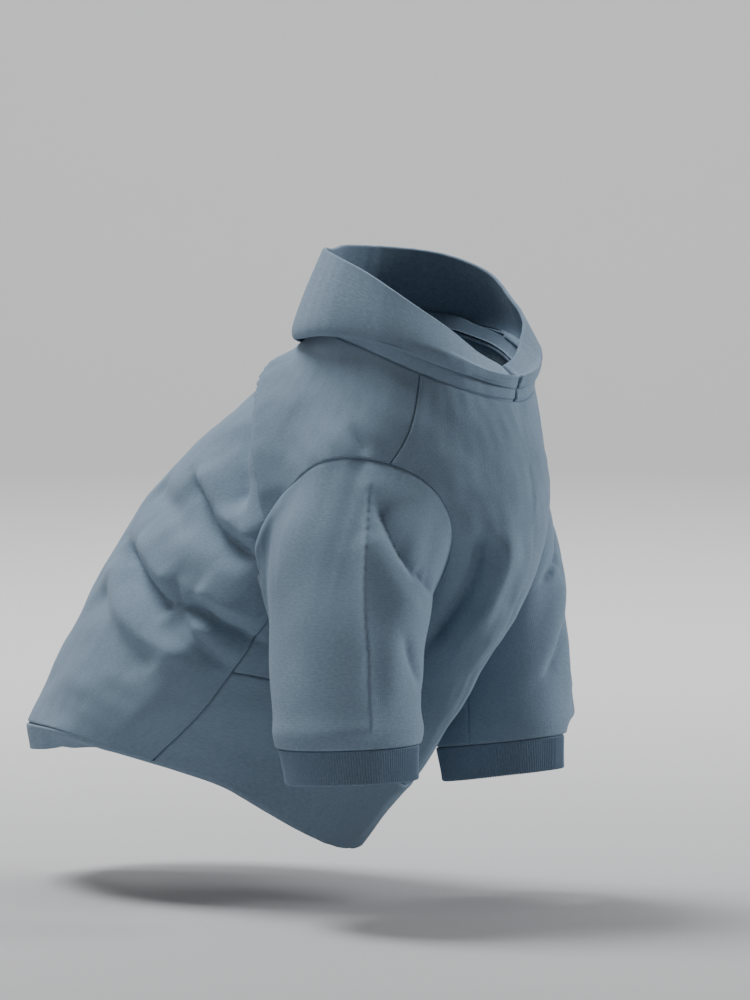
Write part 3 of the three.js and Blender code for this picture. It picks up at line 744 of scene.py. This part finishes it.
def cuff_cloth(sleeve, rows, bends, down, across):
    step = np.round(down * (len(rows) - 1)).astype(int)
    share, bend = rows[step], bends[step]
    angle = np.radians(underseam_angle) + sleeve["side"] * across * 2 * math.pi
    ribs = round(sleeve_girth * sleeve["size"] / rib_pitch)
    rib = np.abs(np.sin(ribs * math.pi * across)) ** rib_fullness - 1
    at_seam = share * cuff_height
    half = rib_wall / 2 + rib_height * rib * smooth_step(0, rib_start, at_seam)
    drawn_in = smooth_step(cuff_draws_in_from, cuff_draws_in_to, share)
    waist = cuff_at_seam + (cuff_at_mouth - cuff_at_seam) * drawn_in
    inward = rib_wall / 2 - half * np.cos(bend) - seam_lip(at_seam) * (bend < 1)
    low = share * (cuff_height - rib_wall / 2) + half * np.sin(bend)
    place = cuff_edge(sleeve, angle, seam_gap + low, waist - 2 * inward / sleeve_breadth)
    return place + np.array([cuff_forward, 0, 0]) * share[:, None]


# Rib knit: two wales stand up and two lie back, at 1.7 mm a rib. The ribs are in the mesh, and this adds the
# stitches along them and a slightly darker tone, as the yarn is dyed apart from the fleece.
rib_knit = knit_material(
    "cotton_rib_knit", ("#65788b", "#718498", "#7f92a4"), 0.00085, 0.0011, 0.00006, 0.0001, 0.1
)

for sleeve in sleeves:
    rows, bends = folded_wall(panel_steps(10, cuff_height), 8)
    ribs = round(sleeve_girth * sleeve["size"] / rib_pitch)
    tube = flat_cloth(np.linspace(0, 1, len(rows)), np.linspace(0, 1, ribs * rib_points + 1))
    lay_cloth(
        tube,
        lambda down, across: cuff_cloth(sleeve, rows, bends, down, across),
        sleeve_girth,
        2 * cuff_height,
    )
    bmesh.ops.remove_doubles(tube, verts=tube.verts, dist=1e-6)
    piece = finish_cloth(sleeve["name"] + "_rib", tube, 0, [rib_knit])
    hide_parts(sleeve["name"] + "_cuff")

# Hem band. A strip of the fleece folded double round the hem, with its fold as the lower edge. It hangs down
# behind and turns in under the body towards the front.
hem_height = 0.018
hem_tuck = {"behind": 32, "ahead": 86, "from": 38, "to": 100}
hem_round = 0.16  # the share of its height over which it rounds in at the front
hem_waves = {"seed": 21, "size": 0.03, "height": 0.0008}
edge_step = 0.05  # the rings between two places that give the trunk's slant at its edges


def hem_cloth(rows, bends, down, across):
    step = np.round(down * (len(rows) - 1)).astype(int)
    share, bend = rows[step], bends[step]
    turn = 180 - 360 * across
    hem = 0 * turn + last_ring
    edge = trunk_form(hem, turn)
    out = trunk_normal(hem, turn)
    along = unit(edge - trunk_form(hem - edge_step, turn))
    edge = edge + out * trunk_relief(hem, turn)[:, None]
    forward = smooth_step(hem_tuck["from"], hem_tuck["to"], np.abs(turn))
    tuck = np.radians(hem_tuck["behind"] + (hem_tuck["ahead"] - hem_tuck["behind"]) * forward)
    reach = share * (hem_height - fleece_wall / 2)
    waves = soft_waves(turn * degree_pitch, reach, **hem_waves) * share
    sine, cosine = np.sin(tuck), np.cos(tuck)
    half = fleece_wall / 2
    depth = half - half * np.cos(bend) - seam_lip(share * hem_height) * (bend < 1) - waves
    reach = reach + half * np.sin(bend)
    drop = fleece_wall * (1 - forward * (1 - smooth_step(0, hem_round, share)))
    down_by = seam_gap + (drop - depth) * sine + reach * cosine
    out_by = -reach * sine - depth * cosine
    return edge + along * down_by[:, None] + out * out_by[:, None]


rows, bends = folded_wall(panel_steps(10, hem_height), 8)
hem_girth = 0.560
band = flat_cloth(np.linspace(0, 1, len(rows)), np.linspace(0, 1, 301))
lay_cloth(band, lambda down, across: hem_cloth(rows, bends, down, across), hem_girth, 2 * hem_height)
bmesh.ops.remove_doubles(band, verts=band.verts, dist=1e-6)
hem = finish_cloth("hem", band, 0, [fleece_face])
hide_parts("hem_band")

# Hood. It is the same fleece, double, sewn to the neck. It is worn down, so it stands up a little from the
# neck seam, folds out over itself behind and at the sides, and rises to its rim round the neck. Its two
# edges meet at the middle of the front.
hood_rise = 0.046
hood_overhang = 0.021
hood_stand = 0.012
hood_opening = 1.5
# Sections of the hood at turns from the middle of the back: fold out, fold up, rim out, rim up, stand.
hood_turns = (0, 40, 90, 130, 180)
hood_sections = [
    (0.95, -0.25, -0.10, 1.00, 0.4),
    (0.70, -0.15, -0.15, 1.00, 0.7),
    (0.35, 0.10, -0.10, 0.95, 1.1),
    (0.25, 0.20, -0.20, 0.75, 1.1),
    (0.15, 0.16, -0.45, 0.42, 0.9),
]
hood_under = {"near_out": 0.3, "near_up": 0.55, "far_out": 0.75, "far_up": 0.45}
hood_roll = 0.15 * hood_rise
hood_round = 0.17 * hood_overhang
hood_round_low = 0.6 * hood_round
hood_crown = 0.12 * hood_overhang
hood_waves = {"seed": 31, "size": 0.07, "height": 0.0006}
hood_wave_pitch, hood_wave_length = 0.0013, 0.1
hood_waves_from, hood_waves_full = 0.1, 0.35  # shares of the way from the seam to the rim
hood_edge_pitch = 0.6 * degree_pitch


def through_places(places, share):
    """A smooth curve through places that stand evenly along it. Each is a pair of arrays, out and up."""
    run = share * (len(places) - 1)
    here = np.clip(np.floor(run).astype(int), 0, len(places) - 2)
    part = (run - here)[:, None]
    stack = np.stack([np.stack(place, axis=1) for place in places])
    point = np.arange(len(share))
    before, start = stack[np.maximum(here - 1, 0), point], stack[here, point]
    end, after = stack[here + 1, point], stack[np.minimum(here + 2, len(places) - 1), point]
    leave, arrive = (end - before) / 2, (after - start) / 2
    return (
        (2 * start - 2 * end + leave + arrive) * part ** 3
        + (-3 * start + 3 * end - 2 * leave - arrive) * part ** 2
        + leave * part
        + start
    )


def hood_cloth(rows, bends, down, across):
    step = np.round(down * (len(rows) - 1)).astype(int)
    share, bend = rows[step], bends[step]
    turn = (2 * across - 1) * (180 - hood_opening)
    fold_out, fold_up, rim_out, rim_up, stand = along_rows(hood_turns, hood_sections, np.abs(turn)).T
    edge = trunk_form(0 * turn, turn)
    up = unit(edge - trunk_form(0 * turn + edge_step, turn))
    seam = edge + up * seam_gap + trunk_normal(0 * turn, turn) * trunk_relief(0 * turn, turn)[:, None]
    fold = np.stack([fold_out * hood_overhang, fold_up * hood_rise])
    rim = np.stack([rim_out * hood_overhang, rim_up * hood_rise])
    under = stand * hood_stand
    low = np.maximum(under * hood_under["far_up"], fold[1] + rib_wall)
    places = [
        (0 * turn - 2 * seam_allowance, 0 * turn - seam_allowance),
        (0 * turn, 0 * turn),
        (fold[0] * hood_under["near_out"], under * hood_under["near_up"]),
        (fold[0] * hood_under["far_out"] - hood_round, low),
        (fold[0] - hood_round_low, fold[1]),
        (fold[0], fold[1] + hood_roll),
        ((fold[0] + rim[0]) / 2 + hood_crown, (fold[1] + rim[1]) / 2),
        (rim[0], rim[1]),
    ]
    nudge = 0.01
    at = through_places(places, share)
    before = through_places(places, np.maximum(0, share - nudge))
    ahead = unit(through_places(places, np.minimum(1, share + nudge)) - before)
    half = fleece_wall / 2
    swell = soft_waves(turn * hood_wave_pitch, share * hood_wave_length, **hood_waves)
    swell = swell * smooth_step(hood_waves_from, hood_waves_full, share)
    lip = seam_lip(np.linalg.norm(at, axis=1)) * (bend < 1)
    lip = lip + seam_lip((180 - hood_opening - np.abs(turn)) * hood_edge_pitch) * (bend < 1)
    depth = half - half * np.cos(bend) - lip - swell
    at = at + ahead * (half * np.sin(bend))[:, None]
    outward = np.stack([seam[:, 0] - trunk_rings[0][0] * trunk_reach, seam[:, 1], 0 * turn], axis=1)
    outward = unit(outward)
    reach = at[:, 0] - depth * ahead[:, 1]
    rise = at[:, 1] + depth * ahead[:, 0]
    return seam + outward * reach[:, None] + np.array([0, 0, 1]) * rise[:, None]


rows, bends = folded_wall(panel_steps(60, 0.1), 10)
hood_width, hood_length = 0.40, 0.11
cloth = flat_cloth(np.linspace(0, 1, len(rows)), panel_steps(200, hood_width))
lay_cloth(cloth, lambda down, across: hood_cloth(rows, bends, down, across), hood_width, 2 * hood_length)
hood = finish_cloth("hood_cloth", cloth, 0, [fleece_face])
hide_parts("hood")

# Studio. A pale seamless floor that rises far behind into a grey wall, a soft box overhead on the left, a
# weak one low on the left, one that rims the right side, and one on the wall. A shadow is painted on the
# floor: its colour is a darker grey round the middle, under the hoodie.
floor_height = -0.330
floor_reach, sweep_radius, wall_height = 4.2, 1.6, 4.0
# The darker middle of the floor is a painted shadow, not the paper's own colour.
painted_shadow_radius, painted_shadow_end = 0.2, 1.6  # the floor is darkest round the middle, and palest from the second on
paper = bpy.data.materials.new("studio_paper")
paper.use_nodes = True
paper_tree = paper.node_tree
paper_tree.nodes.clear()
paper_place = add_node(paper_tree, "ShaderNodeTexCoord").outputs["Object"]
from_middle = add_node(paper_tree, "ShaderNodeVectorMath", {"operation": "LENGTH"}, {0: paper_place})
painted_shadow_fade = add_node(
    paper_tree, "ShaderNodeMapRange",
    {"From Min": painted_shadow_radius, "From Max": painted_shadow_end, "interpolation_type": "SMOOTHSTEP"},
    {"Value": from_middle.outputs["Value"]},
)
# Painted shadow: the floor's colour goes from a darker grey at the middle to the pale paper further out.
paper_tone_with_painted_shadow = add_node(
    paper_tree, "ShaderNodeMix", {"data_type": "RGBA", 6: linear("#b7b8ba"), 7: linear("#cbcbcc")}
)
paper_tree.links.new(painted_shadow_fade.outputs["Result"], paper_tone_with_painted_shadow.inputs[0])
paper_shader = add_node(
    paper_tree, "ShaderNodeBsdfPrincipled", {"Roughness": 0.8}, {"Base Color": paper_tone_with_painted_shadow.outputs[2]}
)
add_node(paper_tree, "ShaderNodeOutputMaterial", (), {"Surface": paper_shader.outputs[0]})

sweep = bmesh.new()
profile = [(0, floor_height), (floor_reach, floor_height)]
for degrees in range(10, 91, 10):
    bend = math.radians(degrees)
    profile.append(
        (floor_reach + sweep_radius * math.sin(bend), floor_height + sweep_radius * (1 - math.cos(bend)))
    )
profile.append((floor_reach + sweep_radius, floor_height + wall_height))
verts = [sweep.verts.new((x, 0, z)) for x, z in profile]
edges = [sweep.edges.new(pair) for pair in zip(verts[:-1], verts[1:])]
bmesh.ops.spin(
    sweep, geom=verts + edges, cent=(0, 0, 0), axis=(0, 0, 1), dvec=(0, 0, 0), angle=2 * math.pi, steps=96,
    use_merge=True, use_duplicate=False,
)
bmesh.ops.remove_doubles(sweep, verts=sweep.verts, dist=1e-5)
sweep.normal_update()
for face in sweep.faces:
    face.smooth = True
sweep_mesh = bpy.data.meshes.new("sweep")
sweep.to_mesh(sweep_mesh)
sweep.free()
sweep_mesh.materials.append(paper)
backdrop = bpy.data.objects.new("sweep", sweep_mesh)
bpy.context.collection.objects.link(backdrop)

# Camera. A long lens at the photograph's angle: 37 degrees round from the right side and 4 degrees above.
camera_azimuth, camera_elevation, camera_distance = math.radians(37), math.radians(4), 3.0
right_of_origin, above_origin = -0.030, -0.081
camera_back = Vector(
    (
        math.sin(camera_azimuth) * math.cos(camera_elevation),
        -math.cos(camera_azimuth) * math.cos(camera_elevation),
        math.sin(camera_elevation),
    )
)
camera_right = Vector((math.cos(camera_azimuth), math.sin(camera_azimuth), 0))
camera_up = camera_back.cross(camera_right)
camera = bpy.data.objects.new("camera", bpy.data.cameras.new("camera"))
camera.data.lens = 180
camera.location = camera_right * right_of_origin + camera_up * above_origin + camera_back * camera_distance
camera.rotation_mode = "QUATERNION"
camera.rotation_quaternion = (-camera_back).to_track_quat("-Z", "Y")
bpy.context.collection.objects.link(camera)
bpy.context.scene.camera = camera


def soft_light(name, place, aim, size, power, colour):
    """A square soft box."""
    light = bpy.data.lights.new(name, "AREA")
    light.shape, light.size, light.energy, light.color = "SQUARE", size, power, linear(colour)[:3]
    box = bpy.data.objects.new(name, light)
    box.location = place
    box.rotation_mode = "QUATERNION"
    box.rotation_quaternion = (aim - place).to_track_quat("-Z", "Y")
    bpy.context.collection.objects.link(box)


up = Vector((0, 0, 1))
hoodie_middle = Vector((-0.1, 0, -0.12))
left_of_camera, behind = -camera_right, -Vector((camera_back.x, camera_back.y, 0)).normalized()
soft_light("key", left_of_camera * 1.8 + up * 1.0 + behind * 0.3, hoodie_middle, 0.9, 6, "#fffaf4")
soft_light("overhead", left_of_camera * 0.8 + up * 2.0 + behind * 0.25, hoodie_middle, 0.8, 58, "#ffffff")
soft_light("rim", left_of_camera * -1.9 + up * 0.7, hoodie_middle, 0.6, 27, "#ffffff")
soft_light("wall", behind * 1.5 + up * 3.0, behind * 5.8 + up * 0.6, 3.0, 225, "#ffffff")
world = bpy.data.worlds.new("studio")
world.use_nodes = True
world.node_tree.nodes["Background"].inputs["Color"].default_value = linear("#e8ebee")
world.node_tree.nodes["Background"].inputs["Strength"].default_value = 0.05
bpy.context.scene.world = world
